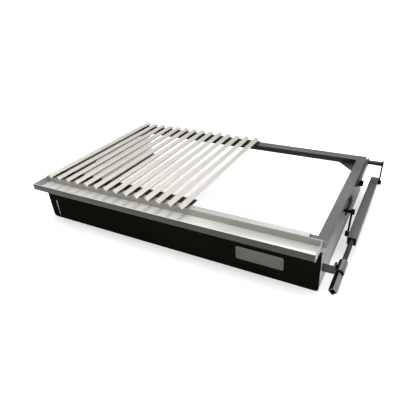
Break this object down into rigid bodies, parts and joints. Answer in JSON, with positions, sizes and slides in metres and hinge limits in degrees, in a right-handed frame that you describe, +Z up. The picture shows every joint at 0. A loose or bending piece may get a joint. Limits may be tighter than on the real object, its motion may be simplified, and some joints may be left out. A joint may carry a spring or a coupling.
{
  "type": "barbecue grill",
  "caption": "Built-in barbecue grill: open frame with a rack of V-shaped bars, front drip tray, black front panel and a screw drive that lifts the cooking frame.",
  "frame": {"origin": "on the ground under the middle of the whole grill", "axes": "+X to the right along the drip tray, +Y from the front to the back, +Z up"},
  "size_m": [1.1058, 0.6808, 0.1745],
  "materials": {
    "stainless_bar": "satin",
    "stainless_tray": "polished",
    "frame_paint": "satin",
    "case_black": "satin",
    "side_grey": "satin",
    "gear_black": "satin",
    "tube_grey": "satin",
    "steel_turned": "turned",
    "plate_metal": "brushed"
  },
  "bodies": {
    "case": {"front_panel": "case_black", "name_plate": "plate_metal", "name_plate_rivets": "plate_metal", "side_plate_left": "side_grey", "side_plate_right": "side_grey", "shaft_bearing_left": "gear_black", "shaft_bearing_right": "gear_black", "front_pivot_bearing_left": "gear_black", "front_pivot_bearing_right": "gear_black", "sleeve_bracket": "tube_grey", "pivot_strap": "gear_black", "strap_spacer": "gear_black"},
    "lift_gear": {"lift_shaft": "steel_turned", "rear_arm_left": "gear_black", "rear_arm_right": "gear_black", "drive_crank": "gear_black", "crank_pin": "steel_turned"},
    "front_gear_right": {"front_shaft_right": "steel_turned", "front_arm_right": "gear_black", "front_link": "gear_black", "link_pin": "steel_turned"},
    "front_gear_left": {"front_shaft_left": "steel_turned", "front_arm_left": "gear_black"},
    "cooking_frame": {"side_rail_left": "frame_paint", "side_rail_right": "frame_paint", "rail_end_caps": "frame_paint", "front_crossbar": "frame_paint", "rear_crossbar": "frame_paint", "corner_gusset_left": "frame_paint", "corner_gusset_right": "frame_paint", "rear_lugs": "gear_black", "front_lugs": "gear_black", "rear_pivot_bolts": "gear_black", "front_pivot_pins": "gear_black", "drip_tray": "stainless_tray", "tray_end_left": "stainless_tray", "tray_end_right": "stainless_tray"},
    "rack": {"v_bar_01": "stainless_bar", "v_bar_02": "stainless_bar", "v_bar_03": "stainless_bar", "v_bar_04": "stainless_bar", "v_bar_05": "stainless_bar", "v_bar_06": "stainless_bar", "v_bar_07": "stainless_bar", "v_bar_08": "stainless_bar", "v_bar_09": "stainless_bar", "v_bar_10": "stainless_bar", "v_bar_11": "stainless_bar", "v_bar_12": "stainless_bar", "v_bar_13": "stainless_bar", "v_bar_14": "stainless_bar", "rack_front_strip": "stainless_bar", "rack_rear_strip": "stainless_bar"},
    "pull_tube_body": {"pull_tube": "tube_grey", "tube_nut": "gear_black"},
    "swivel_sleeve": {"sleeve": "steel_turned", "swivel_pin": "steel_turned"},
    "spindle_body": {"screw_spindle": "steel_turned", "thrust_collar": "gear_black", "crank_socket": "tube_grey"}
  },
  "joints": [
    {"name": "lift", "type": "hinge", "parent": "case", "child": "lift_gear", "pos_m": [-0.0226, 0.3244, 0.13], "axis": [-1, 0, 0], "range_deg": [0, 20]},
    {"name": "front_arm_right_pivot", "type": "hinge", "parent": "case", "child": "front_gear_right", "pos_m": [0.4594, -0.0466, 0.13], "axis": [-1, 0, 0], "range_deg": [0, 20]},
    {"name": "front_arm_left_pivot", "type": "hinge", "parent": "case", "child": "front_gear_left", "pos_m": [-0.5046, -0.0466, 0.13], "axis": [-1, 0, 0], "range_deg": [0, 20]},
    {"name": "frame_pivot", "type": "hinge", "parent": "lift_gear", "child": "cooking_frame", "pos_m": [-0.0226, 0.1464, 0.13], "axis": [1, 0, 0], "range_deg": [0, 20]},
    {"name": "rack_lift_off", "type": "slide", "parent": "cooking_frame", "child": "rack", "axis": [0, 0, 1], "range_m": [0, 0.12]},
    {"name": "tube_pivot", "type": "hinge", "parent": "lift_gear", "child": "pull_tube_body", "pos_m": [0.5284, 0.2944, 0.07], "axis": [1, 0, 0], "range_deg": [0, 20]},
    {"name": "sleeve_swivel", "type": "hinge", "parent": "case", "child": "swivel_sleeve", "pos_m": [0.5284, -0.2406, 0.07], "axis": [1, 0, 0], "range_deg": [0, 6.7]},
    {"name": "spindle_turn", "type": "hinge", "parent": "swivel_sleeve", "child": "spindle_body", "pos_m": [0.5284, -0.2406, 0.07], "axis": [0, -1, 0], "range_deg": [0, 1685.1]}
  ],
  "couplings": [
    {"joint": "front_arm_right_pivot", "follows": "lift", "ratio": 1},
    {"joint": "front_arm_left_pivot", "follows": "lift", "ratio": 1},
    {"joint": "frame_pivot", "follows": "lift", "ratio": 1},
    {"joint": "tube_pivot", "follows": "lift", "ratio": 1},
    {"joint": "sleeve_swivel", "follows": "lift", "ratio": 0.3346},
    {"joint": "spindle_turn", "follows": "lift", "ratio": 84.204}
  ]
}
